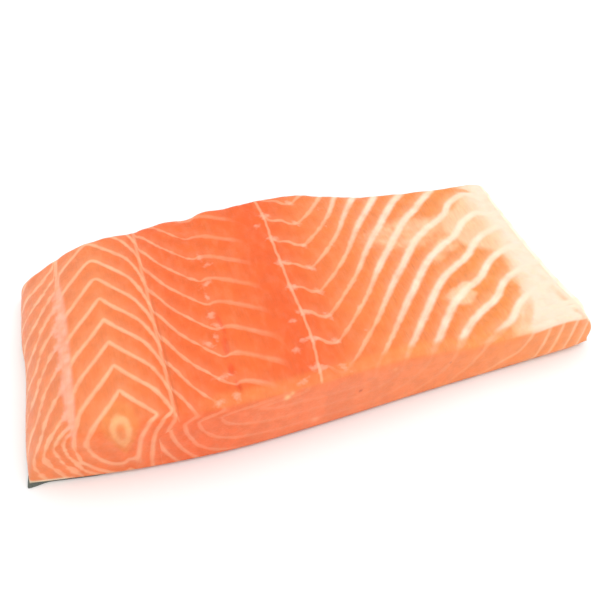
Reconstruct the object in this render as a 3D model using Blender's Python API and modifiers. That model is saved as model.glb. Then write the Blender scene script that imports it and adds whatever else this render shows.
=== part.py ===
"""A portion of raw salmon fillet lying on its skin, cut straight across one side of the fish.

-X is the back of the fish and +X its belly, and the two long cut faces look along -Y and +Y.
The flesh and the skin under it are separate solids. Units are metres.
"""

import bmesh
import bpy
from mathutils import Vector

MM = 0.001

# Driving dimensions. Near is the cut that looks along -Y, far the one that looks along +Y.
BACK_FOOT = -94.3 * MM  # where the back of the portion meets the skin, at the near cut
BACK_FOOT_TAPER = 4.5 * MM  # how far that foot runs in towards the far cut
SHOULDER = -79 * MM  # the fat seam that edges the top of the loin, at the near cut
SHOULDER_TAPER = 4.5 * MM
SHOULDER_SWELL = 4.5 * MM  # how far the side between foot and shoulder bulges
BELLY_EDGE = 95.5 * MM  # the widest line of the belly edge, at the near cut
BELLY_TAPER = 3.5 * MM  # how far that line runs in towards the far cut
BELLY_UNDERCUT = 3 * MM  # how far the edge is drawn in under its widest line

TIP_LIFT = 3.2 * MM  # how far the near corner of the belly flap curls off the table
TIP_LIFT_REACH = 34 * MM  # where the curl starts, in from the belly edge
TIP_LIFT_SHARE = 0.55  # how much of the way to the far cut the curl takes to die out

SKIN = 0.9 * MM
JOINT_GAP = 0.3 * MM  # clearance between the flesh and the skin
SKIN_INSET = 0.4 * MM  # how far the flesh overhangs its skin along both cuts
SKIN_BELLY_LIP = 2.4 * MM  # how far skin runs out past the foot of the belly edge
SKIN_BELLY_SHARE = 0.1  # the share of the width over which it does so
SKIN_TAB = 1.6 * MM  # how far skin shows at the near corner of the back
SKIN_TAB_WIDTH = 0.12  # the share of the width that the tab takes
SKIN_TAB_DEPTH = 0.15  # and the share of the depth

# Height of the top at (place across, near cut, middle, far cut).
TOP = [
    (-79 * MM, 21.0 * MM, 20.0 * MM, 15.5 * MM),
    (-62 * MM, 22.5 * MM, 23.0 * MM, 20.0 * MM),
    (-40 * MM, 23.0 * MM, 24.0 * MM, 21.0 * MM),
    (-12 * MM, 22.0 * MM, 23.5 * MM, 22.5 * MM),
    (12 * MM, 21.5 * MM, 22.5 * MM, 22.5 * MM),
    (32 * MM, 20.0 * MM, 19.0 * MM, 16.5 * MM),
    (50 * MM, 16.5 * MM, 14.5 * MM, 13.0 * MM),
    (68 * MM, 16.0 * MM, 12.5 * MM, 11.5 * MM),
    (84 * MM, 16.0 * MM, 11.0 * MM, 10.5 * MM),
    (95 * MM, 13.0 * MM, 8.5 * MM, 8.0 * MM),
]
# The two cuts seen from above, at (place across, Y).
NEAR_CUT = [
    (-95 * MM, -39.5 * MM),
    (-60 * MM, -44.2 * MM),
    (-25 * MM, -45.4 * MM),
    (35 * MM, -41.5 * MM),
    (95 * MM, -38.0 * MM),
]
FAR_CUT = [
    (-95 * MM, 40.5 * MM),
    (-40 * MM, 42.5 * MM),
    (20 * MM, 43.5 * MM),
    (95 * MM, 43.0 * MM),
]

# Edge loops of the cages, as shares of their extent. A loop close to 0 or 1 keeps that edge tight.
ACROSS = [0, 0.035, 0.13, 0.25, 0.37, 0.49, 0.61, 0.73, 0.84, 0.94, 1]
ALONG = [0, 0.035, 0.3, 0.7, 0.965, 1]
UPWARD = [0, 0.42, 0.86, 1]
SMOOTHING = 2  # subdivision levels


def smooth_curve(stations, at, column=1):
    """A Catmull-Rom curve through one column of the stations, level past either end."""
    places = [row[0] for row in stations]
    values = [row[column] for row in stations]
    at = min(max(at, places[0]), places[-1])
    i = max(k for k in range(len(places) - 1) if places[k] <= at)
    span = places[i + 1] - places[i]
    share = (at - places[i]) / span

    def slope(k):
        before, after = max(k - 1, 0), min(k + 1, len(places) - 1)
        return (values[after] - values[before]) / (places[after] - places[before])

    rise = values[i + 1] - values[i]
    start, end = slope(i) * span, slope(i + 1) * span
    cubic = start + end - 2 * rise
    square = 3 * rise - 2 * start - end
    return values[i] + share * (start + share * (square + share * cubic))


def ease(value):
    """0 below 0, 1 above 1 and a smooth step between."""
    value = min(max(value, 0), 1)
    return value * value * (3 - 2 * value)


def top_height(x, along):
    """Height of the top at x: a parabola through its heights at the near cut, middle and far cut."""
    near, middle, far = (smooth_curve(TOP, x, column) for column in (1, 2, 3))
    sag = 2 * (near + far - 2 * middle)
    return near + (far - near) * along - sag * along * (1 - along)


def tip_lift(x, along):
    """How far the underside is off the table: only at the near corner of the belly flap."""
    towards_belly = ease((x - BELLY_EDGE + TIP_LIFT_REACH) / TIP_LIFT_REACH)
    return TIP_LIFT * towards_belly**2 * ease(1 - along / TIP_LIFT_SHARE)


def flesh_point(across, along, upward):
    """A place in the flesh from three shares: from back to belly, from near to far, and upward."""
    foot = BACK_FOOT + BACK_FOOT_TAPER * along
    shoulder = SHOULDER + SHOULDER_TAPER * along
    swell = 4 * SHOULDER_SWELL * upward * (1 - upward)
    back = foot + (shoulder - foot) * upward - swell
    belly = BELLY_EDGE - BELLY_TAPER * along - BELLY_UNDERCUT * (1 - upward)
    x = back + (belly - back) * across
    y = smooth_curve(NEAR_CUT, x) * (1 - along) + smooth_curve(FAR_CUT, x) * along
    underside = SKIN + JOINT_GAP + tip_lift(x, along)
    z = underside + (top_height(x, along) - underside) * upward
    return Vector((x, y, z))


def skin_point(across, along):
    """A place on the skin's upper side: under the flesh, drawn in at the cuts, with a lip and a tab."""
    place = flesh_point(across, along, 0)
    place.z -= JOINT_GAP
    place.x += SKIN_BELLY_LIP * ease((across - 1 + SKIN_BELLY_SHARE) / SKIN_BELLY_SHARE)
    place.y += SKIN_INSET * (1 - 2 * along)
    tab = SKIN_TAB * ease(1 - across / SKIN_TAB_WIDTH) * ease(1 - along / SKIN_TAB_DEPTH)
    place.x -= tab / 2
    place.y -= tab
    return place


def material(name, colour, roughness):
    made = bpy.data.materials.new(name)
    made.use_nodes = True
    shader = made.node_tree.nodes["Principled BSDF"]
    shader.inputs["Base Color"].default_value = (*colour, 1)
    shader.inputs["Roughness"].default_value = roughness
    shader.inputs["Metallic"].default_value = 0
    made.diffuse_color = (*colour, 1)
    return made


def slice_along(bm, axis, shares):
    """Cuts a unit block or sheet with one edge loop at each inner share of its side."""
    normal = Vector((0, 0, 0))
    normal[axis] = 1
    for share in shares[1:-1]:
        everything = bm.verts[:] + bm.edges[:] + bm.faces[:]
        bmesh.ops.bisect_plane(bm, geom=everything, dist=1e-7, plane_co=normal * share, plane_no=normal)


def add_piece(name, bm, finish, parts, holder):
    """Makes an object of the cage and smooths it."""
    mesh = bpy.data.meshes.new(name)
    bm.to_mesh(mesh)
    bm.free()
    mesh.materials.append(finish)
    mesh.shade_smooth()
    obj = bpy.data.objects.new(name, mesh)
    parts.objects.link(obj)
    obj.parent = holder
    smooth = obj.modifiers.new("Smooth", "SUBSURF")
    smooth.levels = SMOOTHING
    smooth.render_levels = SMOOTHING
    return obj


def make_flesh(parts, holder):
    """A unit block, sliced into a cage and moulded. Its foot stays sharp, where the knife met the skin."""
    bm = bmesh.new()
    bmesh.ops.create_cube(bm, size=1)
    bmesh.ops.translate(bm, verts=bm.verts, vec=(0.5, 0.5, 0.5))
    for axis, shares in enumerate((ACROSS, ALONG, UPWARD)):
        slice_along(bm, axis, shares)
    crease = bm.edges.layers.float.new("crease_edge")
    for edge in bm.edges:
        at_foot = all(vert.co.z < 1e-6 for vert in edge.verts)
        if at_foot and any(face.normal.z > -0.5 for face in edge.link_faces):
            edge[crease] = 1
    for vert in bm.verts:
        vert.co = flesh_point(*vert.co)
    finish = material("salmon_flesh", (0.93, 0.31, 0.12), 0.35)
    return add_piece("flesh", bm, finish, parts, holder)


def make_skin(parts, holder):
    """A sheet on the flesh's own edge loops, thickened downwards."""
    bm = bmesh.new()
    bmesh.ops.create_grid(bm, x_segments=1, y_segments=1, size=0.5)
    bmesh.ops.translate(bm, verts=bm.verts, vec=(0.5, 0.5, 0))
    for axis, shares in enumerate((ACROSS, ALONG)):
        slice_along(bm, axis, shares)
    for vert in bm.verts:
        vert.co = skin_point(vert.co.x, vert.co.y)
    finish = material("silver_skin", (0.22, 0.24, 0.25), 0.3)
    obj = add_piece("skin", bm, finish, parts, holder)
    shell = obj.modifiers.new("Thickness", "SOLIDIFY")
    shell.thickness = SKIN
    shell.offset = -1
    return obj


def stand_on_origin(holder, pieces):
    """Moves the holder so that the middle of the pieces' shared underside is at the origin."""
    bpy.context.view_layer.update()
    graph = bpy.context.evaluated_depsgraph_get()
    corners = []
    for obj in pieces:
        shown = obj.evaluated_get(graph)
        corners += [shown.matrix_world @ Vector(corner) for corner in shown.bound_box]
    for axis in range(3):
        places = [corner[axis] for corner in corners]
        held = min(places) if axis == 2 else (min(places) + max(places)) / 2
        holder.location[axis] = -held
    bpy.context.view_layer.update()


def main():
    for obj in list(bpy.data.objects):
        bpy.data.objects.remove(obj)
    parts = bpy.data.collections.new("salmon_fillet")
    bpy.context.scene.collection.children.link(parts)
    holder = bpy.data.objects.new("fillet", None)
    parts.objects.link(holder)
    pieces = [make_flesh(parts, holder), make_skin(parts, holder)]
    stand_on_origin(holder, pieces)


main()
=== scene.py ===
# %% [markdown]
# # A portion of raw salmon fillet
#
# A side of salmon lies on its skin and is cut twice, straight across. The portion between the cuts
# shows the whole anatomy of the side: the back of the fish at -X, the belly at +X, the skin below,
# and on top the inner face that lay against the backbone and the ribs.
#
# The lengths in this lesson are millimetres. They become metres when a mesh is written.

# %% Frame
import math

import bpy
import numpy as np
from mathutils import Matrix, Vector, noise


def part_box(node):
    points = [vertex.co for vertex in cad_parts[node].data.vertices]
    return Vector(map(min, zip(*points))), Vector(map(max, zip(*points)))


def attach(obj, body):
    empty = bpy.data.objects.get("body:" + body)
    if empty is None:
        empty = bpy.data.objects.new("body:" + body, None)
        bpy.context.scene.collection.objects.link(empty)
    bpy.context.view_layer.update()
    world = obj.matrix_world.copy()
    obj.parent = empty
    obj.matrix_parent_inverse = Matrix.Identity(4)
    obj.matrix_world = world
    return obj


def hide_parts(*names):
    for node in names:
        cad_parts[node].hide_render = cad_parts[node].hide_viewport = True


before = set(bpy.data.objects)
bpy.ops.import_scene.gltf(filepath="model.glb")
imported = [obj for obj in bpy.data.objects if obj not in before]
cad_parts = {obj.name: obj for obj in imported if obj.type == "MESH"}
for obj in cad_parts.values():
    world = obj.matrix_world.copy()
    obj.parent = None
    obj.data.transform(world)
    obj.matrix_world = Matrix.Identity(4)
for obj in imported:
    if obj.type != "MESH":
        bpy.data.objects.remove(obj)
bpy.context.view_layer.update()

MM = 0.001


def ease(value):
    """0 below 0, 1 above 1 and a smooth step between."""
    value = np.clip(value, 0, 1)
    return value * value * (3 - 2 * value)


def bell(distance, width):
    """1 at no distance, about a third at the width, then nothing."""
    return np.exp(-((distance / width) ** 2))


def curve(stations, at, column=1):
    """A Catmull-Rom curve through one column of the stations, level past either end."""
    table = np.array(stations, float)
    places, values = table[:, 0], table[:, column]
    last = len(places) - 1
    before = np.maximum(np.arange(last + 1) - 1, 0)
    after = np.minimum(np.arange(last + 1) + 1, last)
    slopes = (values[after] - values[before]) / (places[after] - places[before])
    at = np.clip(at, places[0], places[-1])
    i = np.clip(np.searchsorted(places, at, side="right") - 1, 0, last - 1)
    span = places[i + 1] - places[i]
    share = (at - places[i]) / span
    rise = values[i + 1] - values[i]
    start, end = slopes[i] * span, slopes[i + 1] * span
    square, cubic = 3 * rise - 2 * start - end, start + end - 2 * rise
    return values[i] + share * (start + share * (square + share * cubic))


def lumps(places, size, seed=0):
    """Smooth noise from about -1 to 1, with lumps of the given size."""
    shift = Vector((seed * 17.3, seed * 5.1, seed * 9.7))
    return np.array([noise.noise(Vector(place) / size + shift) for place in places])


# %% [markdown]
# ## The block of flesh
#
# The knife leaves two flat cuts and a rounded top. One way to model that is to sculpt a cube, but
# the flakes of the meat need thousands of even, tidy faces to carry their relief. So the block starts
# as a fine lattice of shares - across the fish, along it and upward - and a function moulds each
# share into a place. Only the shell of the lattice is kept. The underside, which the skin hides,
# gets a few long rows of faces.

# %% Mould
# Where the back stands on the table, by the share of the way from the near cut to the far cut.
BACK_FOOT = [
    (0, -94.3), (0.12, -93.9), (0.25, -92.8), (0.38, -91.4), (0.53, -90.2), (0.66, -90.4), (0.8, -89.7),
    (1, -87.5),
]
SHOULDER, BACK_TAPER, NEAR_SWELL, FAR_SWELL = -79, 4.5, 4.5, 5.3
BELLY_EDGE, BELLY_TAPER, BELLY_UNDERCUT = 95.5, 3.5, 3
NOSE_SHARE, NOSE_ROUNDING = 0.12, 10.4  # the near corner of the belly is blunt
UNDERSIDE, TIP_LIFT, TIP_REACH, TIP_SHARE = 1.2, 1.2, 12, 0.3
# Height of the top at (place across, near cut, middle, far cut).
TOP = [
    (-79, 21.0, 20.0, 14.4), (-74.5, 21.4, 20.8, 14.9), (-69.5, 21.9, 21.9, 17.8), (-62, 22.5, 22.9, 20.0),
    (-40, 22.8, 23.6, 21.0), (-12, 22.0, 23.3, 22.5), (12, 21.5, 22.5, 22.5), (32, 20.0, 19.0, 16.5),
    (50, 16.5, 14.5, 13.0), (68, 16.0, 12.5, 11.5), (84, 16.6, 11.0, 10.5), (95, 14.5, 8.5, 8.0),
]
FAR_BUMPS = [(-60, 0), (-52, 0.2), (-47.5, -0.9), (-42, -0.2), (-36, 0.5), (-31, 0.2), (-26, -1.1),
             (-21, 0.7), (-12, 0.3), (0, 0)]
NEAR_CUT = [(-95, -39.5), (-60, -44.2), (-25, -45.4), (35, -41.5), (95, -38.0)]
FAR_CUT = [(-95, 40.5), (-40, 42.5), (20, 43.5), (95, 43.0)]


def underside(x, along):
    """Height of the flesh's underside: it leaves the table a little at the near corner of the belly."""
    lift = TIP_LIFT * ease((x - BELLY_EDGE + TIP_REACH) / TIP_REACH) ** 2
    return UNDERSIDE + lift * ease(1 - along / TIP_SHARE)


def mould(across, along, upward):
    """The place of a share of the block."""
    foot = curve(BACK_FOOT, along)
    shoulder = SHOULDER + BACK_TAPER * along
    swell = NEAR_SWELL + (FAR_SWELL - NEAR_SWELL) * along
    back = foot + (shoulder - foot) * upward - 4 * swell * upward * (1 - upward)
    nose = ease(1 - along / NOSE_SHARE)
    undercut = BELLY_UNDERCUT * (1 - upward) * (1 - nose) + NOSE_ROUNDING * (upward - 0.35) ** 2 * nose
    belly = BELLY_EDGE - BELLY_TAPER * along - undercut
    x = back + (belly - back) * across
    y = curve(NEAR_CUT, x) * (1 - along) + curve(FAR_CUT, x) * along
    near, middle, far = (curve(TOP, x, column) for column in (1, 2, 3))
    top = near + (far - near) * along - 2 * (near + far - 2 * middle) * along * (1 - along)
    top += curve(FAR_BUMPS, x) * ease((along - 0.8) / 0.2)
    low = underside(x, along)
    return np.stack([x, y, low + (top - low) * upward], -1)


# %% Lattice
STEPS = (330, 154, 40)  # about 0.57 mm a face
ROWS = [0, 4, 30, 77, 124, 150, 154]  # the rows of the underside


def lattice_shell(steps, rows):
    """The shell of a lattice: its shares, and closed quads around them."""
    i, j, k = np.meshgrid(*(np.arange(count + 1) for count in steps), indexing="ij")
    rim = (i == 0) | (i == steps[0]) | (j == 0) | (j == steps[1]) | (k == steps[2])
    kept = rim | ((k == 0) & np.isin(j, rows))
    number = np.full(kept.shape, -1)
    number[kept] = np.arange(kept.sum())
    shares = np.stack([i, j, k], -1)[kept] / steps
    faces = []

    def cover(sheet, turned):
        corners = [sheet[:-1, :-1], sheet[1:, :-1], sheet[1:, 1:], sheet[:-1, 1:]]
        quads = np.stack(corners[::-1] if turned else corners, -1).reshape(-1, 4)
        faces.extend(quads.tolist())

    cover(number[:, :, -1], turned=False)
    cover(number[:, 0], turned=False)
    cover(number[:, -1], turned=True)
    cover(number[0], turned=True)
    cover(number[-1], turned=False)
    low = number[:, :, 0]
    for column in range(steps[0]):
        for start, end in zip(rows, rows[1:]):
            first, last = column == 0, column == steps[0] - 1
            left = low[column, start : end + 1] if first else low[column, [start, end]]
            right = low[column + 1, start : end + 1] if last else low[column + 1, [start, end]]
            faces.append(left.tolist() + right[::-1].tolist())
    return shares, faces


shares, faces = lattice_shell(STEPS, ROWS)
block = mould(*shares.T)
block_low, block_high = (np.array(corner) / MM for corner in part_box("flesh"))
to_frame = (block_low + block_high - block.min(0) - block.max(0)) / 2
to_frame[2] = block_low[2] - block[:, 2].min()
block += to_frame
print(f"block: {len(block)} points, {np.ptp(block, 0).round(1)} mm")

# %% [markdown]
# ### Softening the edges
#
# Raw flesh has no sharp corners except at its foot, where the knife met the tough skin. A Bevel
# would need a clean edge to follow. The Smooth modifier simply lets every point drift towards its
# neighbours, which rounds whatever is sharp. A vertex group says how freely each point may drift:
# not at all at the foot, a little at the back, and most at the near edge and the belly.

# %% Smoothing
ROUNDING_PASSES = 160
FOOT_HEIGHT = 0.12  # the share of the height over which the foot is held


def new_mesh_object(name, places, faces):
    mesh = bpy.data.meshes.new(name)
    mesh.from_pydata((places * MM).tolist(), [], faces)
    mesh.shade_smooth()
    obj = bpy.data.objects.new(name, mesh)
    bpy.context.scene.collection.objects.link(obj)
    return obj


def read(mesh, what):
    values = np.empty(len(mesh.vertices) * 3, np.float32)
    mesh.vertices.foreach_get(what, values)
    return values.reshape(-1, 3).astype(float)


def write(mesh, places):
    mesh.vertices.foreach_set("co", (places * MM).astype(np.float32).ravel())
    mesh.update()


flesh = new_mesh_object("fillet_flesh", block, faces)
share_across, share_along, share_up = shares.T
freedom = 0.25 + 0.75 * np.maximum(ease(1 - share_along / 0.3), ease((share_across - 0.8) / 0.15))
tip = ease((share_across - 0.84) / 0.08) * ease(1 - share_along / 0.3)
far_back = ease(1 - share_across / 0.15) * ease((share_along - 0.8) / 0.2)
freedom *= ease(share_up / FOOT_HEIGHT) * (1 - 0.7 * tip) * (1 - 0.7 * far_back)
free = flesh.vertex_groups.new(name="free")
for level in range(1, 21):
    members = np.flatnonzero(np.round(freedom * 20) == level)
    free.add(members.tolist(), level / 20, "REPLACE")
rounding = flesh.modifiers.new("Rounding", "SMOOTH")
rounding.factor = 0.5
rounding.iterations = ROUNDING_PASSES
rounding.vertex_group = "free"
graph = bpy.context.evaluated_depsgraph_get()
rounded = read(flesh.evaluated_get(graph).data, "co") / MM
flesh.modifiers.clear()
flesh.vertex_groups.clear()
write(flesh.data, rounded)
normals = read(flesh.data, "normal")
x, y, z = rounded.T
print(f"rounded block: {np.ptp(rounded, 0).round(1)} mm")

# %% [markdown]
# ## Numbering the sheets of fat
#
# Salmon muscle is a stack of cone-shaped flakes, and the white lines on a fillet are the thin
# sheets of fat between them. They could be painted as curves on the surface, but then the lines on
# the top and on the cuts would not meet. Instead every place inside the block gets a number, and
# the sheets are where the number is whole: any surface through the block then shows the right
# lines. The distance to the nearest sheet follows from how fast the number changes.
#
# The back muscle and the side muscle are two separate stacks, with a groove between them.

# %% Sheets of the back muscle
BACK_AXIS = -63.0  # the middle of the nested cones, across the fish
BACK_FLAKE = 10.1  # from one sheet to the next, along the fish
CONE = [  # how far a sheet trails behind its tip, by distance from the axis
    (0, 0), (4, 4.8), (8, 9), (11.9, 13.5), (14, 17.5), (16, 22.7), (18.6, 32.8), (22, 42),
    (25.8, 51.2), (30.3, 61), (36, 72),
]
# The near cut shows the same cones from their side: the distance there, and the axis by height.
CUT_INNER = [(0, 0), (2, 5), (4, 10.1), (5.4, 12), (9.5, 16.4), (14, 20), (24, 32)]
CUT_LEAN = [(0, 3.9), (5, 4.1), (10, 3.6), (15, 2.8), (19, 1.3), (22.3, -1.5)]
BACK_WALL = [  # how far a sheet trails on the outer side of the seam, by height
    (0, -65), (4.5, -65), (6.5, -64), (9, -61.5), (11.5, -59.5), (13.5, -57), (14.7, -54),
    (16.5, -49.5), (18, -46.5), (19.5, -44), (22, -42),
]


def seam_x(y):
    """The pink fat seam along the shoulder of the back."""
    return -76.8 + 0.042 * y


def back_sheets(x, y, z):
    at_cut = ease((-40.3 - y) / 2.5)
    foot_lean = 1.5 * ease((22 - z) / 6)
    lean = curve(CUT_LEAN, z) * at_cut + foot_lean * (1 - at_cut)
    off_axis = x - BACK_AXIS + lean
    inward = np.maximum(off_axis, 0)
    inner_side = ease((inward - 2) / 4) * at_cut
    inward = 1.15 * inward * (1 - at_cut) + curve(CUT_INNER, inward) * at_cut
    outward = np.minimum(off_axis, 0)
    outward = outward - (lean - foot_lean) * ease(-outward / 10)
    depth = np.maximum(0, 20.5 - z)
    depth = (depth - 3.4 * (1 - np.exp(-depth / 3))) * (1 - 0.7 * inner_side)
    blunt = 0.1 + 1.8 * ease((y - 5) / 30)
    lag = -curve(CONE, np.sqrt((inward + outward) ** 2 + depth**2 + blunt**2) - blunt)
    past_seam = ease((seam_x(y) + 0.8 - x) / 1.6) * ease((y + 42.5) / 9)
    lag += past_seam * (curve(BACK_WALL, z) - lag)
    return (y + 29 - lag) / BACK_FLAKE


# %% Sheets of the side muscle
SIDE_FLAKE = 11.35
CHEVRON = [  # how far a sheet of the side trails at the top, by place across the fish
    (-60, 74), (-47, 52), (-41.5, 41), (-36, 34), (-30, 28), (-24, 26.3), (-16.5, 22.5), (-11, 19),
    (-5, 10), (-1.5, 5), (2.5, 3.6), (5, 1.3), (7.5, 0.7), (10, 2.7), (14, 7), (18, 12), (22, 17.5),
    (28, 27), (34, 35.5), (40, 43), (46, 50.5), (52, 57), (58, 61.5), (66, 66.5), (73, 73.5), (80, 77.5),
    (95, 82),
]
DEEP_CHEVRON = [  # the same near the skin
    (-60, 74), (-55, 64), (-51, 54), (-46.7, 42.7), (-42.6, 31.4), (-36, 20), (-24, 8.6), (-8, 4),
    (5, 1.2), (7.5, 0.7), (10, 2.7), (14, 7), (18, 12), (22, 17.5), (28, 27), (34, 35.5),
]
SINKING = [(0, 43), (3, 36), (5, 31.5), (8, 24.5), (12, 16.5), (15, 9), (17, 4.5), (19.5, 0)]
TORN_ROW = -28.6  # the row where the short bones of the side were torn out


def side_sheets(x, y, z):
    towards_near = ease((x + 20) / 20) * ease((34 - x) / 20)
    lag = curve(CHEVRON, x - 0.07 * y * towards_near)
    deep = curve(DEEP_CHEVRON, x)
    lag += ease((21.5 - z) / 3.5) * ease((20 - x) / 20) * (deep - lag)
    lag += 1.9 * np.maximum(0, x - 73) * ease((-28 - y) / 8)
    lag += 2.7 * bell(x - 66, 7) * ease((y - 30) / 8)
    lag -= 5 * ease((x - 79) / 7) * ease((y - 18) / 10)
    past_row = x - TORN_ROW
    lag += 0.9 * np.tanh(past_row / 1.2) * bell(past_row, 9) * ease((z - 19) / 3)
    lag = np.hypot(lag, curve(SINKING, z))
    return (y + 18.6 - lag) / SIDE_FLAKE


def sheet_y(k, x):
    """Where sheet k of the side crosses a line along the fish at x, on the top."""
    y = SIDE_FLAKE * k - 18.6 + curve(CHEVRON, x)
    return SIDE_FLAKE * k - 18.6 + curve(CHEVRON, x - 0.07 * y)


def groove_x(y, z):
    """The groove between the back muscle and the side muscle."""
    return -47.2 + 0.025 * y - 6.5 * ease((20 - z) / 6)


# %% Spacing of the sheets
def spacing(sheets, places, normals):
    """Millimetres of surface from one sheet to the next."""
    step = 0.2
    ahead = [sheets(*(places + step * axis).T) for axis in np.eye(3)]
    behind = [sheets(*(places - step * axis).T) for axis in np.eye(3)]
    slope = (np.stack(ahead, -1) - np.stack(behind, -1)) / (2 * step)
    slope -= normals * (slope * normals).sum(-1, keepdims=True)
    return np.clip(1 / (np.linalg.norm(slope, axis=-1) + 1e-6), 0.4, 14)


back_number, side_number = back_sheets(x, y, z), side_sheets(x, y, z)
back_gap = spacing(back_sheets, rounded, normals)
side_gap = spacing(side_sheets, rounded, normals)
past_groove = x - groove_x(y, z)
print(f"gaps: back {np.median(back_gap):.1f} mm, side {np.median(side_gap):.1f} mm")

# %% [markdown]
# ## Regions and marks
#
# Each region of the fillet has its own mix of fat, colour and cut, and every fillet has marks of its
# own: torn fibres, windows in the belly membrane, knots of fat. Soft masks between 0 and 1 say how
# much of each is at a point. Both the relief and the colour read the same masks, so they agree.

# %% Regions
near_cut = ease((-normals[:, 1] - 0.2) / 0.7)
far_cut = ease((normals[:, 1] - 0.35) / 0.45)
cuts = near_cut + far_cut
on_top = ease((normals[:, 2] - 0.45) / 0.4)
fine_lumps = lumps(rounded, 1.6, seed=4)
small_lumps = lumps(rounded, 3, seed=2)
middle_lumps = lumps(rounded, 6, seed=1)
broad_lumps = lumps(rounded, 14, seed=3)


def spot(at_x, at_y, length, width=None, turn=0.0, edge=0.5, torn=0.15):
    """A soft oval on the top: 1 inside, 0 outside, turned from +X towards +Y in degrees."""
    cos, sin = math.cos(math.radians(turn)), math.sin(math.radians(turn))
    forward = (x - at_x) * cos + (y - at_y) * sin
    aside = (y - at_y) * cos - (x - at_x) * sin
    reach = np.hypot(forward / length, aside / (width or length))
    reach += torn * (fine_lumps + small_lumps)
    return ease((1 + edge - reach) / (2 * edge)) * on_top


def spots(rows, **settings):
    """The strongest of several spots at each point."""
    return np.max([spot(*row, **settings) for row in rows], 0)


# %% [markdown]
# ### Fat: seam, pin line and knots
#
# A pink seam of fat edges the shoulder, ragged on its outer side. Where the pin bones were pulled,
# each sheet ends in a small knot, and a thin tendon line runs through the knots; a loop finds their
# places from the numbering itself.

# %% Seam
SEAM_HALF = [(-42, 0.5), (-38, 1.0), (-20, 1.7), (0, 1.9), (15, 1.8), (30, 0.8), (42, 0.3)]

ragged = 0.9 * small_lumps + 0.6 * fine_lumps
off_seam = x - seam_x(y)
spikes = 2.2 * bell(np.abs(back_number - np.round(back_number)) * BACK_FLAKE, 1.5) * (off_seam < 0)
seam_edge = curve(SEAM_HALF, y) + (spikes + ragged) * (off_seam < 0.3)
seam = ease((seam_edge + 0.7 - np.abs(off_seam)) / 1.4) * ease((z - 15) / 4) * ease((y + 42) / 3)

# %% Pin line and knots
PIN_LINE = [(-42, -3.6), (-24, -1.5), (0, -1.7), (20, -1.4), (34, -0.9), (45, -1.6)]

off_pin = x - curve(PIN_LINE, y)
pins, valleys, arms = [], [], []
for k in range(-2, 6):
    pin_y, valley_y, arm_y = sheet_y(k, -1.2), sheet_y(k, 7), sheet_y(k, 18)
    pins.append((curve(PIN_LINE, pin_y) + 0.4, pin_y, 2.3, 1.1, -20))
    pins.append((curve(PIN_LINE, pin_y), pin_y, 0.8, 2.1, 0))
    valleys.append((7.4 + 0.07 * valley_y, valley_y - 0.4, 2.0, 1.1, -50))
    arms.append((18 + 0.06 * arm_y, arm_y, 1.1, 0.8, 60))
knots, barbs, arm_knots = (spots(rows, edge=1.0, torn=0.3) for rows in (pins, valleys, arms))
print(f"{len(valleys)} knots on the pin line")

# %% [markdown]
# ### The first cone
#
# The innermost cone of the back shows as one thick ring where the knife went through its tip. It is
# cut so low that no line would be thick enough, so it is an ellipsoid with a smaller one inside.

# %% First cone
CONE_TIP, CONE_HALF, CONE_TAPER = (-65, -43.5, 19.0), (2.9, 7.3, 5.9), 0.08
CORE_TIP, CORE_HALF = (-65, -42.2, 19.9), (1.4, 2.5, 3.0)


def reach_from(centre, half):
    return np.linalg.norm((rounded - centre) / half, axis=1)


narrowing = np.stack([1 + CONE_TAPER * (z - CONE_TIP[2]), np.ones(len(z)), np.ones(len(z))], -1)
cone_reach = reach_from(CONE_TIP, np.array(CONE_HALF) * narrowing) + 0.1 * small_lumps + 0.04 * fine_lumps
core = ease((1.35 - reach_from(CORE_TIP, CORE_HALF)) / 0.7)
ring = ease((1.15 - cone_reach) / 0.3) * (1 - 0.8 * core)
first_cone = ease((1.9 - cone_reach) / 0.5)
print(f"first cone {2 * CONE_HALF[0]:.1f} mm across")

# %% [markdown]
# ### The torn row
#
# A second row of fine bones leaves a ragged line through the flakes: pale shreds of connective
# tissue where each sheet meets it, and short dark gashes where the flesh parted.

# %% Torn row
ROW_SHREDS = [
    (-25.5, 15.5, 1.5, 0.8, 30), (-28.0, 6.2, 2.3, 1.0, 35), (-29.9, -8.0, 1.5, 1.0, 50),
    (-29.0, -12.5, 1.6, 0.8, -20), (-30.5, -17.5, 0.8, 1.5, 0), (-33.5, -19.5, 2.2, 0.8, -40),
    (-31.5, -33.3, 2.8, 0.9, 5), (-29.8, -41.5, 1.0, 1.6, 20), (-35.6, -42.2, 1.9, 1.0, 10),
    (-27.5, 20, 0.8, 1.8, 10), (-29.2, 0.5, 0.7, 1.6, 10),
]
GASHES = [
    (-27.7, -12.0, 0.6, 3.9, 6), (-28.4, -21.7, 1.0, 3.4, -5), (-29.2, -31.5, 0.9, 2.4, -12),
    (-28.5, -37.5, 0.6, 2.4, 10),
]
PINK_SHREDS = [
    (-6.0, -17.0, 1.6, 0.9, 10), (-4.6, -25.5, 1.2, 0.9, 0), (-7.6, -28.8, 1.2, 1.3, -30),
    (-5.1, -37.0, 0.9, 1.4, 10), (-4.5, 30.0, 1.3, 1.0, 0), (-9.0, -41.0, 2.2, 0.8, 20),
]
shreds = spots(ROW_SHREDS, edge=1.4, torn=0.4)
pink_shreds = spots(PINK_SHREDS, edge=1.4, torn=0.4)
gashes = spots(GASHES, edge=0.5, torn=0.15)
print(f"torn row: {len(ROW_SHREDS)} shreds and {len(GASHES)} gashes")

# %% [markdown]
# ### The membrane of the belly
#
# Towards the belly a translucent cream membrane covers the flesh. It is thickest at the edge. Further
# in, it shows between the stripes of fat as a veil, with windows of bare orange flesh in it.

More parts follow.
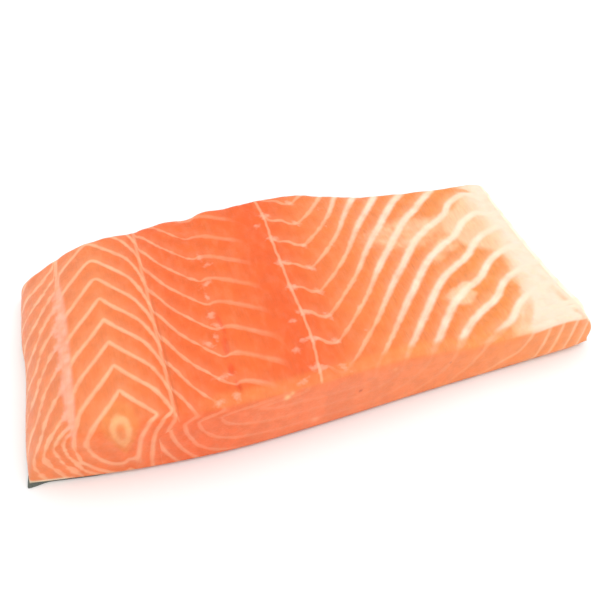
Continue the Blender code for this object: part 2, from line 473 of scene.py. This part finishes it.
# %% Veil
VEIL_EDGE = [
    (-40, 62), (-30, 67), (-20, 74), (-10, 76), (0, 78), (6, 74), (10, 68), (20, 62), (27, 65), (32, 72),
    (42, 80),
]
VEILS = [(50, 20.5, 17, 7.5, 12), (54.8, -16.2, 4.6, 3.8, 0), (62, 12, 7, 4, 40), (57, 6, 5, 2, 40)]
PATCHES = [(54.8, -15.5, 5.2, 4.0, 0), (57.5, -11.5, 3.5, 2.0, 40)]
WINDOWS = [
    (65.5, 35, 8, 4.5, 40), (80.2, 40.5, 3.2, 1.2, -30), (57, -0.5, 13, 3.6, 40), (67, -3, 11, 3.6, 42),
    (73.5, -6.5, 4.5, 2.5, 33), (66.5, -14.5, 3.8, 3, 0), (72, -18.5, 6, 3, 49), (62.5, -29.5, 7.5, 3.4, 52),
    (45, -23.5, 9, 4, 43), (51, -29.5, 9, 4, 44), (40, -33, 8, 4, 45),
]

windows = spots(WINDOWS, edge=0.22)
veil = ease((x - curve(VEIL_EDGE, y) - 1.5 * middle_lumps + 2) / 6)
veil = np.maximum(veil, spots(VEILS, edge=0.4) * (0.62 + 0.5 * small_lumps)) * (1 - windows)
veil = np.clip(np.maximum(veil, 0.9 * spots(PATCHES, edge=0.35)), 0, 1) * on_top

# %% Membrane, rim and lip
MEMBRANE_EDGE = [(-40, 70), (-33, 71), (-25, 75), (-14, 79), (0, 81), (14, 83), (28, 81), (42, 82)]
RIM_SHADE = (88.2, -25, 12, 1.3, -86)  # the shaded inner side of the rolled rim
THIN_PLACE = (73, -30, 6, 1.6, 60)

rim_shade = spot(*RIM_SHADE, edge=0.8) * ease((-10 - y) / 25)
thin_place = spot(*THIN_PLACE)
near_tip = ease((-31 - y) / 4)
# Painted highlight: the thick cream membrane at the belly's edge gets a near-white colour where light
# catches it.
rim = ease((x - 89.6 + 0.03 * y) / 1.5) * ease((normals[:, 2] + 0.9 - 1.1 * near_tip) / 0.6)
membrane_line = curve(MEMBRANE_EDGE, y) + 1.5 * middle_lumps + 0.8 * small_lumps
membrane = ease((x - membrane_line + 4) / 8) * ease((normals[:, 2] - 0.2) / 0.4)
membrane *= (1 - 0.85 * windows) * (1 - rim_shade) * (1 - 0.6 * thin_place) * (1 - rim)
lip = bell(y - (-37.6 + 0.02 * (x - 60)), 1.5) * ease((x - 61) / 6) * ease((92 - x) / 4)
print(f"membrane on {100 * np.mean(membrane[on_top > 0.5] > 0.5):.0f}% of the top")

# %% [markdown]
# ## Relief
#
# The knife and the fillet's own weight leave little relief, but it is what makes wet flesh glisten:
# sheets of fat sunk a tenth of a millimetre, a crease in the groove, knots and shreds that stand up,
# gashes that go in, and a rolled lip where the membrane ends at the near cut.

# %% Relief
back_side = past_groove < 0
number = np.where(back_side, back_number, side_number)
gap = np.where(back_side, back_gap, side_gap)
off_sheet = np.abs(number - np.round(number)) * gap
covered = np.maximum(veil, membrane)

relief = 0.22 * broad_lumps + 0.05 * small_lumps
relief -= 0.13 * bell(off_sheet, 0.8) * (1 - 0.5 * cuts) * (1 - covered)
relief += 0.16 * veil * bell(off_sheet, 1.2)
relief -= 0.45 * bell(past_groove - 0.4, 0.6) * on_top
relief += 0.15 * bell(past_groove + 0.6, 0.8) * on_top
relief += 0.3 * knots + 0.25 * shreds + 0.15 * pink_shreds + 0.1 * arm_knots
relief -= 0.35 * gashes
relief += 0.35 * bell(x - TORN_ROW + 1.8, 1.6) * on_top * (0.5 + small_lumps)
relief += 0.12 * membrane * (1 + 2 * small_lumps) + 0.7 * lip
relief += 0.4 * middle_lumps * ease((y - 36) / 5)
relief *= ease((z - UNDERSIDE) / 2.0)
write(flesh.data, rounded + normals * relief[:, None])
print(f"relief: {relief.min():.2f} to {relief.max():.2f} mm")

# %% [markdown]
# ## Width and strength of the lines of fat
#
# The sheets are hair-thin at the groove and broad stripes at the belly. The near cut crosses them at
# another angle and shows them fainter. Each table is a curve from the back to the belly.

# %% Width and strength of the lines of fat
HALF_WIDTH = [
    (-95, 0.75), (-77, 0.75), (-62, 0.6), (-48, 0.45), (-40, 0.36), (-30, 0.34), (-26, 0.7), (-12, 0.9),
    (-2, 0.4), (0, 0.45), (14, 0.52), (22, 0.65), (32, 1.0), (45, 1.25), (95, 1.3),
]
STRENGTH = [
    (-95, 0.42), (-62, 0.48), (-50, 0.42), (-42, 0.33), (-31, 0.31), (-26, 0.22), (-16, 0.18), (-10, 0.0),
    (-2, 0.05), (0, 0.3), (10, 0.32), (22, 0.46), (32, 0.62), (45, 0.76), (95, 0.9),
]
CUT_HALF_WIDTH = [(-95, 0.6), (-62, 0.65), (-45, 0.5), (0, 0.7), (50, 0.6), (95, 0.45)]
CUT_STRENGTH = [
    (-95, 0.36), (-60, 0.38), (-54, 0.3), (-40, 0.18), (-20, 0.08), (20, 0.05), (45, 0.12), (65, 0.3),
    (80, 0.45), (95, 0.45),
]
WANDER = [(-95, 2.8), (-79, 2.8), (-74, 0.9), (-50, 0.8), (-42, 1.1), (10, 1.1), (30, 0.8), (95, 0.8)]
EDGE_FADE = 3.0  # over this distance from the near cut the stripes of the side thin out

half_width = curve(HALF_WIDTH, x) * (1 - cuts) + curve(CUT_HALF_WIDTH, x) * cuts
strength = curve(STRENGTH, x) * (1 - cuts) + curve(CUT_STRENGTH, x) * cuts
near_edge_y = curve(NEAR_CUT, x) + to_frame[1]
edge_zone = ease((near_edge_y + 3.5 + EDGE_FADE - y) / EDGE_FADE) * ease((x + 45) / 10) * on_top
strength *= 1 - 0.75 * edge_zone
strength *= 1 - ease((2.0 - cone_reach) / 0.5) * (back_number < -0.5)
strength *= 1 - 0.85 * seam
strength *= 1 + 0.3 * middle_lumps + 0.2 * small_lumps

# %% [markdown]
# ## Colours of the flesh
#
# The carotenoids in the fish's food colour the muscle. It is palest at the back and the belly, where
# it holds most fat, and reddest along the pin line. The colours are laid over one another with the
# masks, like glazes.

# %% Colours of the flesh
FLESH = [
    (-92, "e8804a"), (-62, "e87a3d"), (-42, "e86322"), (-22, "e8641c"), (-6, "e85c18"), (2, "e8621c"),
    (12, "e87330"), (26, "e87a34"), (45, "e87d38"), (70, "e88a40"), (95, "e89050"),
]
CUT_FLESH = [
    (-92, "ee8044"), (-62, "ee733a"), (-45, "ee6a34"), (-22, "ee7847"), (0, "ee7e4e"), (50, "f0884c"),
    (75, "f29050"), (95, "f29250"),
]
AMBER, AMBER_FAT, SEAM_FAT = "ee9a4c", "f6b47c", "f4ad93"
# The third colour is the thick membrane at the belly's edge with a painted highlight on it.
VEIL, MEMBRANE, RIM_HIGHLIGHT, CREAM = "f6c298", "f6d8c0", "fcf6da", "f6e2c4"
# The last colour is painted shade for the inner side of the rolled rim, also used where the membrane is
# thin.
SHRED, GASH, RIM_SHADE_AND_THIN_MEMBRANE = "f8bca0", "e64e08", "f0985c"
MARKS_AND_GLINTS = [  # blood spots on the near cut, and painted highlights (pale glints and a blush) on it: where, colour, how much, how large
    ((9.3, -42.0, 12.1), "a82c10", 0.9, 0.55), ((40.7, -40.0, 12.4), "c04020", 0.7, 0.4),
    ((-14.9, -43.6, 19.5), "fbd89a", 0.7, 0.9), ((-13.2, -43.2, 20.3), "fbd89a", 0.5, 0.6),
    ((-5.8, -43.6, 4.5), "fbb08c", 0.5, 1.2), ((21, -41.8, 17.5), "fbc890", 0.4, 0.8),
]


def linear(hex_colour):
    """sRGB hex to linear RGBA."""
    channels = [int(hex_colour[i : i + 2], 16) / 255 for i in (0, 2, 4)]
    return [c / 12.92 if c <= 0.04045 else ((c + 0.055) / 1.055) ** 2.4 for c in channels] + [1.0]


def tint(stations, at):
    """Colours laid along a row of stations."""
    table = np.array([[place, *linear(colour)] for place, colour in stations])
    return np.stack([np.interp(at, table[:, 0], table[:, c]) for c in range(1, 5)], -1)


def wash(colours, mask, hex_colour, amount=1.0):
    """Lays a colour over others where the mask says."""
    share = np.clip(mask * amount, 0, 1)[:, None]
    return colours * (1 - share) + np.array(linear(hex_colour)) * share


# %% Glazes
colours = tint(FLESH, x) * (1 - cuts)[:, None] + tint(CUT_FLESH, x) * cuts[:, None]
# Painted light: a lighter amber band along the near top edge, where light shines through the rounded edge of
# the flesh.
colours = wash(colours, edge_zone, AMBER, 0.3)
# Blood spots, and painted highlights: pale glints and a blush on the near cut.
for mark, hex_colour, amount, size in MARKS_AND_GLINTS:
    colours = wash(colours, bell(np.linalg.norm(rounded - mark, axis=1), size), hex_colour, amount)
colours = wash(colours, first_cone * ease((2 - cone_reach) / 0.5), AMBER, 0.3)
colours = wash(colours, veil, VEIL, 0.85)
colours = wash(colours, gashes, GASH, 0.85)
colours = wash(colours, ease((2.4 - z) / 0.8) * ease((-80 - x) / 6), CREAM, 0.8)
# Painted shade on the inner side of the rolled rim, and the orange of flesh where the membrane is thin.
colours = wash(colours, np.maximum(rim_shade, 0.5 * thin_place), RIM_SHADE_AND_THIN_MEMBRANE, 0.9)
# Painted highlight on the thick membrane at the belly's edge.
colours = wash(colours, rim, RIM_HIGHLIGHT, 0.9)
colours = wash(colours, ring, AMBER_FAT, 0.55 + 0.25 * ease((z - 16) / 5))
colours = wash(colours, seam, SEAM_FAT, np.clip(0.7 + 0.3 * small_lumps + 0.25 * fine_lumps, 0.3, 0.95))
specks = np.max([knots, 0.8 * barbs, 0.5 * arm_knots, 0.9 * shreds, 0.8 * pink_shreds], 0)
print(f"glazes: {colours.shape[0]} points tinted, {100 * np.mean(specks > 0.5):.1f}% specks")

# %% [markdown]
# ## Attributes
#
# The material draws the lines itself, sharper than the faces could carry them. It only needs smooth
# numbers to work from, stored at the points of the mesh.


# %% Attributes
def store(mesh, name, values, kind="FLOAT"):
    layer = mesh.attributes.new(name, kind, "POINT")
    target = "value" if kind == "FLOAT" else "color"
    layer.data.foreach_set(target, np.asarray(values, np.float32).ravel())


POINT_VALUES = {
    "back_number": back_number, "side_number": side_number, "back_gap": back_gap, "side_gap": side_gap,
    "past_groove": past_groove, "off_pin": off_pin, "half_width": half_width, "strength": strength,
    "wander": curve(WANDER, x), "specks": specks, "membrane": membrane, "top": on_top,
    "striped": ease((x - 15) / 20) * on_top, "crease_shade": ease((12 - y) / 10) * on_top,
}
for name, values in POINT_VALUES.items():
    store(flesh.data, name, values)
store(flesh.data, "flesh_tint", colours, "FLOAT_COLOR")
print(f"{len(POINT_VALUES) + 1} attributes on the flesh")

# %% [markdown]
# ## Material: raw salmon flesh
#
# Wet muscle, translucent and orange, with sheets of creamy fat. Water and protein give it an IOR
# near that of water, about 1.38, and a moist film gives a second, sharper gloss. Light goes a few
# millimetres in before it comes out, red farthest, which is what subsurface scattering does: it
# softens the lines of fat and makes the edges glow.


# %% Node helper
def add(tree, kind, inputs=(), **settings):
    """Adds a node. inputs is a dict from a socket's name or number to a value or a linked output."""
    made = tree.nodes.new(kind)
    for name, value in settings.items():
        setattr(made, name, value)
    for socket, value in dict(inputs).items():
        if isinstance(value, bpy.types.NodeSocket):
            tree.links.new(value, made.inputs[socket])
        else:
            made.inputs[socket].default_value = value
    return made


def material(name, **constants):
    """A material with a Principled shader whose plain values are given, underscores for spaces."""
    made = bpy.data.materials.new(name)
    made.use_nodes = True
    shader = made.node_tree.nodes["Principled BSDF"]
    for socket, value in constants.items():
        shader.inputs[socket.replace("_", " ")].default_value = value
    return made, made.node_tree, shader


# %% Salmon flesh
flesh_finish, tree, flesh_shader = material(
    "raw_salmon_flesh", IOR=1.38, Subsurface_Weight=0.35, Subsurface_Radius=(1.0, 0.35, 0.18),
    Subsurface_Scale=2.5 * MM, Coat_Weight=0.12, Coat_Roughness=0.2,
)
place = add(tree, "ShaderNodeTexCoord").outputs["Object"]


def number_of(name):
    return add(tree, "ShaderNodeAttribute", attribute_name=name).outputs["Fac"]


def maths(operation, *values):
    return add(tree, "ShaderNodeMath", dict(enumerate(values)), operation=operation).outputs[0]


def remap(value, low, high, to_low=0.0, to_high=1.0):
    inputs = {"Value": value, "From Min": low, "From Max": high, "To Min": to_low, "To Max": to_high}
    return add(tree, "ShaderNodeMapRange", inputs, interpolation_type="SMOOTHSTEP").outputs[0]


def blend(share, below, above):
    return add(tree, "ShaderNodeMix", {0: share, 6: below, 7: above}, data_type="RGBA").outputs[2]


def grain(size, detail=2.0, where=place):
    """Noise with lumps of the given size in millimetres."""
    inputs = {"Vector": where, "Scale": 1 / (size * MM), "Detail": detail}
    return add(tree, "ShaderNodeTexNoise", inputs).outputs["Fac"]


def strands(sizes, detail, turn=0.0):
    """Noise stretched to the given sizes in millimetres, turned about Z."""
    inputs = {"Vector": place, "Rotation": (0, 0, math.radians(turn))}
    inputs["Scale"] = [1 / (size * MM) for size in sizes]
    inputs = {"Vector": add(tree, "ShaderNodeMapping", inputs).outputs[0], "Scale": 1.0, "Detail": detail}
    return add(tree, "ShaderNodeTexNoise", inputs).outputs["Fac"]


# %% [markdown]
# The lines: the distance to the nearest whole number, times the spacing, is the distance to the
# nearest sheet of fat. A little noise makes it wander, and a soft step turns it into ink. The flesh
# is a little paler just beyond each sheet, and fades back over the first part of the flake.

# %% Distance to the sheets
# The third colour is a painted shade for the crease beside the groove.
THIN_FAT, STRIPE_FAT, CREASE_SHADE = "fecda5", "fedfc5", "c85820"


def sheet_distance(numbers, gaps):
    """Millimetres to the nearest sheet of fat."""
    return maths("MULTIPLY", maths("PINGPONG", number_of(numbers), 0.5), number_of(gaps))


def through_flake(numbers):
    """From 0 at the far side of a sheet to 1 at the near side of the next."""
    return maths("FRACT", number_of(numbers))


after_groove = remap(number_of("past_groove"), -0.15, 0.15)
wander = maths("MULTIPLY", maths("SUBTRACT", grain(3.0, 1.5), 0.5), number_of("wander"))
distances = {2: sheet_distance("back_number", "back_gap"), 3: sheet_distance("side_number", "side_gap")}
distance = maths("ADD", add(tree, "ShaderNodeMix", {0: after_groove, **distances}).outputs[0], wander)
flakes = {2: through_flake("back_number"), 3: through_flake("side_number")}
flake = add(tree, "ShaderNodeMix", {0: after_groove, **flakes}).outputs[0]

# %% Lines of fat
half = number_of("half_width")
inner, outer = maths("MULTIPLY", half, 0.3), maths("MULTIPLY_ADD", half, 1.4, 0.25)
ink = maths("MULTIPLY", remap(distance, outer, inner), number_of("strength"))
halo = maths("MULTIPLY", remap(flake, 0.6, 0.0), number_of("strength"))
on_top_here = number_of("top")
off_groove = maths("ADD", number_of("past_groove"), maths("MULTIPLY_ADD", wander, 0.7, 0.6))
groove_line = maths("MULTIPLY", remap(maths("ABSOLUTE", off_groove), 0.85, 0.1), on_top_here)
off_line = maths("MULTIPLY_ADD", wander, 0.7, number_of("off_pin"))
pin_line = maths("MULTIPLY", remap(maths("ABSOLUTE", off_line), 0.75, 0.1), on_top_here)
fat = maths("MAXIMUM", ink, maths("MULTIPLY", groove_line, 0.3))
fat = maths("MAXIMUM", fat, maths("MULTIPLY", pin_line, 0.38))
# Painted shade: a thin darker line along the crease beside the groove, on the near part of the top.
off_crease = maths("ABSOLUTE", maths("SUBTRACT", off_groove, 1.1))
crease_shade = maths("MULTIPLY", remap(off_crease, 0.6, 0.05), number_of("crease_shade"))
torn_edge = maths("ADD", maths("SUBTRACT", grain(1.3, 1.5), 0.5), number_of("specks"))
shred = maths("MULTIPLY", remap(torn_edge, 0.2, 0.95), 0.46)

# %% [markdown]
# Muscle fibres run along the fish, from sheet to sheet. Stretched noise draws them: fine hatching on
# the top, and the dots of cut fibre ends on the two cuts. Real fibres are a tenth of a millimetre
# thick; these are bundles of 0.5 mm, the finest that still show.

# %% Fibres and colour
fibres = strands((0.5, 5.0, 0.5), 2.0, turn=-11)
streak = strands((2.5, 6.0, 2.5), 3.0)
fibre_depth = maths("MULTIPLY_ADD", number_of("striped"), 0.27, 0.15)
light = maths("MULTIPLY_ADD", maths("SUBTRACT", fibres, 0.5), fibre_depth, 1.0)
light = maths("MULTIPLY", light, remap(grain(5), 0.3, 0.7, 0.95, 1.05))
tint_here = add(tree, "ShaderNodeAttribute", attribute_name="flesh_tint").outputs["Color"]
muscle = add(tree, "ShaderNodeHueSaturation", {"Color": tint_here, "Value": light}).outputs[0]
fat_colour = blend(number_of("striped"), linear(THIN_FAT), linear(STRIPE_FAT))
muscle = blend(remap(streak, 0.4, 0.75, 0.0, 0.06), muscle, fat_colour)
muscle = blend(maths("MULTIPLY", halo, 0.28), muscle, fat_colour)
film = maths("MULTIPLY", number_of("membrane"), remap(grain(4), 0.3, 0.6, 0.75, 1.0))
coloured = blend(fat, muscle, fat_colour)
# Painted shade in the crease beside the groove.
coloured = blend(maths("MULTIPLY", crease_shade, 0.3), coloured, linear(CREASE_SHADE))
coloured = blend(shred, coloured, linear(SHRED))
coloured = blend(film, coloured, linear(MEMBRANE))
tree.links.new(coloured, flesh_shader.inputs["Base Color"])

# %% Gloss
tree.links.new(remap(grain(1.4), 0.3, 0.7, 0.34, 0.5), flesh_shader.inputs["Roughness"])
height = maths("MULTIPLY_ADD", fibres, 0.5, grain(0.9, 3.0))
bump = add(tree, "ShaderNodeBump", {"Height": height, "Strength": 0.3, "Distance": 0.3 * MM})
tree.links.new(bump.outputs[0], flesh_shader.inputs["Normal"])

flesh.data.materials.append(flesh_finish)
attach(flesh, "root")
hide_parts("flesh")
print(f"{flesh_finish.name}: {len(tree.nodes)} nodes")

# %% [markdown]
# ## The skin
#
# Under the flesh lies the skin, about 0.9 mm thick, dark olive on the back of the fish and silver
# towards the belly, with overlapping scales. It is the same lattice turned over, so that its full
# grid of faces is on the underside, where the scales are. The knife leaves it a little shorter than
# the flesh, except at the near corner of the back, where a small tab sticks out.

# %% Skin
SKIN, SKIN_STEPS, SKIN_ROWS = 0.9, (360, 168, 2), [0, 84, 168]
SCALE_WIDTH, SCALE_LENGTH, SCALE_RELIEF = 3.4, 2.6, 0.09
HIDDEN, FLUSH = 2.6, 0.5  # how far the skin's edge lies in from the cut
TAB, TAB_REACH = 1.4, 0.035
BELLY_LIP = 2.3


def skin_place(across, along, upward):
    place = mould(across, along, np.zeros(len(across))) + to_frame
    inset = FLUSH + (HIDDEN - FLUSH) * ease((across - 0.1) / 0.08)
    place[:, 1] += inset * (1 - 2 * along)
    place[:, 0] += BELLY_LIP * ease((across - 0.9) / 0.1) * ease((along - 0.02) / 0.2)
    tab = TAB * ease(1 - across / TAB_REACH) * ease(1 - along / 0.06)
    place[:, 0] -= tab / 2
    place[:, 1] -= tab
    place[:, 2] += -0.3 - SKIN * (1 - upward)
    return place


def scales(x, y):
    """Overlapping scales: each is a dome, staggered from row to row."""
    height = np.zeros(len(x))
    for step in (0, 1):
        row = np.floor(y / SCALE_LENGTH) - step
        shift = 0.5 * (row % 2)
        middle = (np.floor(x / SCALE_WIDTH - shift) + 0.5 + shift) * SCALE_WIDTH
        reach = np.hypot((x - middle) / (0.62 * SCALE_WIDTH), (y / SCALE_LENGTH - row) / 1.35)
        height = np.maximum(height, (1 - reach**2) * (1 - 0.35 * step))
    return np.maximum(height, 0)


skin_shares, skin_faces = lattice_shell(SKIN_STEPS, SKIN_ROWS)
across, along, upward = skin_shares.T
skin_places = skin_place(across, 1 - along, 1 - upward)
scaly = scales(skin_places[:, 0], skin_places[:, 1]) * (upward > 0.9)
inside = ease(np.minimum(across, 1 - across) / 0.02) * ease(np.minimum(along, 1 - along) / 0.03)
skin_places[:, 2] += SCALE_RELIEF * (1 - scaly) * (upward > 0.9) * inside
skin = new_mesh_object("silver_skin", skin_places, skin_faces)
store(skin.data, "scaly", scaly)
print(f"skin: {np.ptp(skin_places, 0).round(1)} mm, scales of {SCALE_WIDTH} mm")

# %% [markdown]
# ## Material: fish skin
#
# Guanine crystals under the scales make the belly shine like silver, and dark pigment covers them on
# the back. It is glossy and wet, and a little metallic where it is silver.

# %% Fish skin
skin_finish, tree, skin_shader = material(
    "silver_fish_skin", IOR=1.4, Coat_Weight=0.3, Coat_Roughness=0.15, Metallic=0.25
)
place = add(tree, "ShaderNodeTexCoord").outputs["Object"]
across_fish = add(tree, "ShaderNodeSeparateXYZ", {0: place}).outputs["X"]
bands = add(tree, "ShaderNodeValToRGB", {0: remap(across_fish, -95 * MM, 95 * MM)})
ramp = bands.color_ramp.elements
ramp[0].color, ramp[0].position = linear("6c7268"), 0.0
ramp[1].color, ramp[1].position = linear("e2e3de"), 0.85
ramp.new(0.3).color = linear("7a817b")
ramp.new(0.52).color = linear("a3aaa8")
scale_edge = maths("MULTIPLY_ADD", number_of("scaly"), 0.35, 0.75)
mottled = maths("MULTIPLY", scale_edge, remap(grain(7, 3.0, place), 0.3, 0.7, 0.88, 1.08))
shaded = add(tree, "ShaderNodeHueSaturation", {"Color": bands.outputs[0], "Value": mottled}).outputs[0]
tree.links.new(shaded, skin_shader.inputs["Base Color"])
tree.links.new(remap(grain(1.2, 2.0, place), 0.3, 0.7, 0.25, 0.4), skin_shader.inputs["Roughness"])
bump = add(tree, "ShaderNodeBump", {"Height": grain(0.6, 2.0, place), "Strength": 0.2, "Distance": 0.1 * MM})
tree.links.new(bump.outputs[0], skin_shader.inputs["Normal"])

skin.data.materials.append(skin_finish)
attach(skin, "root")
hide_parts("skin")
print(f"{skin_finish.name}: {len(tree.nodes)} nodes")

# %% [markdown]
# ## Studio
#
# A white table, a bright even sky and one large soft lamp above and behind: the high-key light of a
# packshot, where the table burns out to white and only a faint shadow holds the food down.

# %% Floor and light
SKY, LAMP_WATTS, LAMP_SIZE = 1.0, 3.0, 0.9
bpy.ops.mesh.primitive_plane_add(size=6)
floor = bpy.context.object
floor.name = "floor"
paper, _, _ = material("white_paper", Base_Color=linear("fafafa"), Roughness=0.9)
floor.data.materials.append(paper)

world = bpy.data.worlds.new("studio")
world.use_nodes = True
world.node_tree.nodes["Background"].inputs["Color"].default_value = (1, 1, 1, 1)
world.node_tree.nodes["Background"].inputs["Strength"].default_value = SKY
bpy.context.scene.world = world

lamp = bpy.data.lights.new("softbox", "AREA")
lamp.size = LAMP_SIZE
lamp.energy = LAMP_WATTS
softbox = bpy.data.objects.new("softbox", lamp)
bpy.context.scene.collection.objects.link(softbox)
softbox.location = (0.25, 0.0, 0.9)
softbox.rotation_euler = softbox.location.to_track_quat("Z", "Y").to_euler()
print(f"softbox of {LAMP_SIZE} m, {LAMP_WATTS} W")

# %% [markdown]
# The camera looks down on the fillet from the near side, a little to the left, with a short
# telephoto lens. The colours are shown as they are, without a film look.

# %% Camera
AZIMUTH, ELEVATION, DISTANCE, LENS = math.radians(-17), math.radians(46), 341.8, 57
AIM = Vector((6.1, 12.3, 0))
level = math.cos(ELEVATION)
backwards = Vector((math.sin(AZIMUTH) * level, -math.cos(AZIMUTH) * level, math.sin(ELEVATION)))
camera = bpy.data.objects.new("camera", bpy.data.cameras.new("camera"))
camera.data.lens = LENS
camera.location = (AIM + backwards * DISTANCE) * MM
camera.rotation_euler = backwards.to_track_quat("Z", "Y").to_euler()
bpy.context.scene.collection.objects.link(camera)
bpy.context.scene.camera = camera
bpy.context.scene.view_settings.view_transform = "Standard"
print(f"camera {DISTANCE} mm away, {LENS} mm lens")
